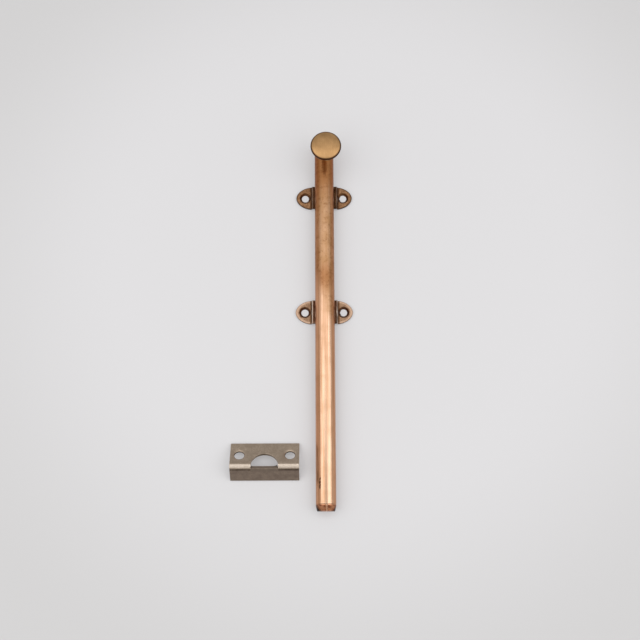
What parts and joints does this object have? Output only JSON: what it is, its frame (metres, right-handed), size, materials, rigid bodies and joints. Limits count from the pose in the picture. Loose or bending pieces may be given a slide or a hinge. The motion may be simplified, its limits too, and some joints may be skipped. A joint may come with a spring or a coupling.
{
  "type": "surface bolt with strike plate",
  "caption": "Slim half-round sliding door bolt with a mushroom knob, held on eared guides, with a separate notched angle strike plate.",
  "frame": {"origin": "under the middle of the whole set as it lies, on the plane of the guides' mounting faces", "axes": "+Y along the bar from nose to knob, +Z out of the door towards the knob, +X to the right when seen from the knob side with the nose down"},
  "size_m": [0.0666, 0.21, 0.0243],
  "materials": {
    "bar_brass": "drawn sheet, antique copper-brown patina rubbed bright along the crown",
    "knob_brass": "turned, handled to a satin",
    "guide_brass": "pressed, dark antique patina with lighter edges",
    "inner_brass": "plain cut brass",
    "spring_bronze": "rolled spring bronze",
    "strike_steel": "pressed, matt tumbled grey"
  },
  "bodies": {
    "guides_and_strike": {"lower_guide_bracket": "guide_brass", "lower_guide_shoe": "inner_brass", "lower_guide_spring": "spring_bronze", "lower_guide_front_rivet": "inner_brass", "lower_guide_rear_rivet": "inner_brass", "upper_guide_bracket": "guide_brass", "upper_guide_shoe": "inner_brass", "upper_guide_spring": "spring_bronze", "upper_guide_front_rivet": "inner_brass", "upper_guide_rear_rivet": "inner_brass", "strike_plate": "strike_steel"},
    "sliding_bolt": {"bar_shell": "bar_brass", "nose_plug": "bar_brass", "nose_pin": "inner_brass", "head_block": "inner_brass", "knob": "knob_brass"}
  },
  "joints": [
    {"name": "bolt_slide", "type": "slide", "parent": "guides_and_strike", "child": "sliding_bolt", "axis": [0, -1, 0], "range_m": [-0.0876, 0.0113]}
  ]
}
